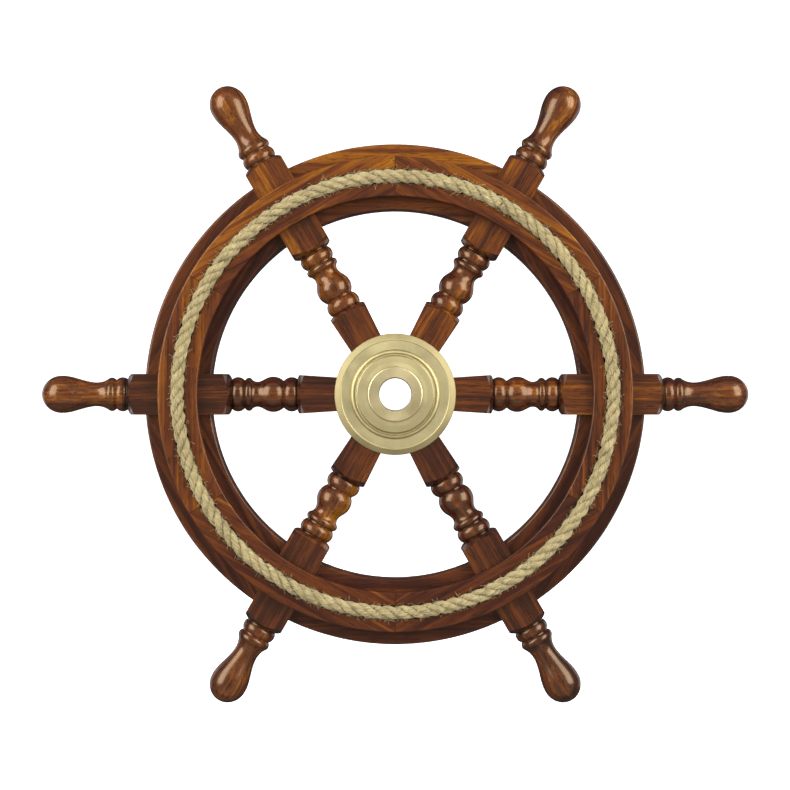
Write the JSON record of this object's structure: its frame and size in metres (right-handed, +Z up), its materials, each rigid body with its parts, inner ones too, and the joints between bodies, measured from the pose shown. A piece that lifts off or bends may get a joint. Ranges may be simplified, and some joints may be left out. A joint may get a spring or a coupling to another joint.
{
  "type": "ship steering wheel",
  "caption": "Turned hardwood ship's steering wheel with a layered rim, inlaid rope ring, and a stepped brass hub that turns on a flanged centre bush.",
  "frame": {"origin": "centre of the wheel, on the shaft's axis, at the middle of the spokes' thickness", "axes": "the wheel stands in the XZ plane and turns about Y; -Y is the front, with the rope; +Z is up; spoke_1 points along +X"},
  "size_m": [0.61, 0.062, 0.5324],
  "materials": {
    "spoke_wood": "glossy lacquered rosewood, dark reddish brown with darker streaks",
    "rim_wood": "glossy lacquered rosewood, golden to dark brown from piece to piece",
    "dowel_wood": "plain beech",
    "rope": "dry three-strand jute rope with loose fibres",
    "hub_brass": "satin, turned on a lathe",
    "bush_brass": "satin, turned on a lathe",
    "screw_brass": "satin",
    "screw_steel": "plain"
  },
  "bodies": {
    "bush": {"centre_bush": "bush_brass", "retaining_collar": "bush_brass", "collar_set_screw": "screw_steel"},
    "wheel": {"spoke_1": "spoke_wood", "spoke_2": "spoke_wood", "spoke_3": "spoke_wood", "spoke_4": "spoke_wood", "spoke_5": "spoke_wood", "spoke_6": "spoke_wood", "nave_block_1": "spoke_wood", "nave_block_2": "spoke_wood", "nave_block_3": "spoke_wood", "nave_block_4": "spoke_wood", "nave_block_5": "spoke_wood", "nave_block_6": "spoke_wood", "felloe_1": "rim_wood", "felloe_2": "rim_wood", "felloe_3": "rim_wood", "felloe_4": "rim_wood", "felloe_5": "rim_wood", "felloe_6": "rim_wood", "front_ring_segment_1": "rim_wood", "front_ring_segment_2": "rim_wood", "front_ring_segment_3": "rim_wood", "front_ring_segment_4": "rim_wood", "front_ring_segment_5": "rim_wood", "front_ring_segment_6": "rim_wood", "rear_ring_segment_1": "rim_wood", "rear_ring_segment_2": "rim_wood", "rear_ring_segment_3": "rim_wood", "rear_ring_segment_4": "rim_wood", "rear_ring_segment_5": "rim_wood", "rear_ring_segment_6": "rim_wood", "rope_inlay": "rope", "front_ring_screws": "screw_steel", "rear_ring_screws": "screw_steel", "rear_ring_plugs": "rim_wood", "felloe_dowels": "dowel_wood", "hub_front_plate": "hub_brass", "hub_rear_plate": "hub_brass", "hub_bolts": "screw_brass", "rear_plate_screws": "screw_brass"}
  },
  "joints": [
    {"name": "wheel_spin", "type": "hinge", "parent": "bush", "child": "wheel", "pos_m": [0, 0, 0], "axis": [0, 1, 0], "continuous": true}
  ]
}
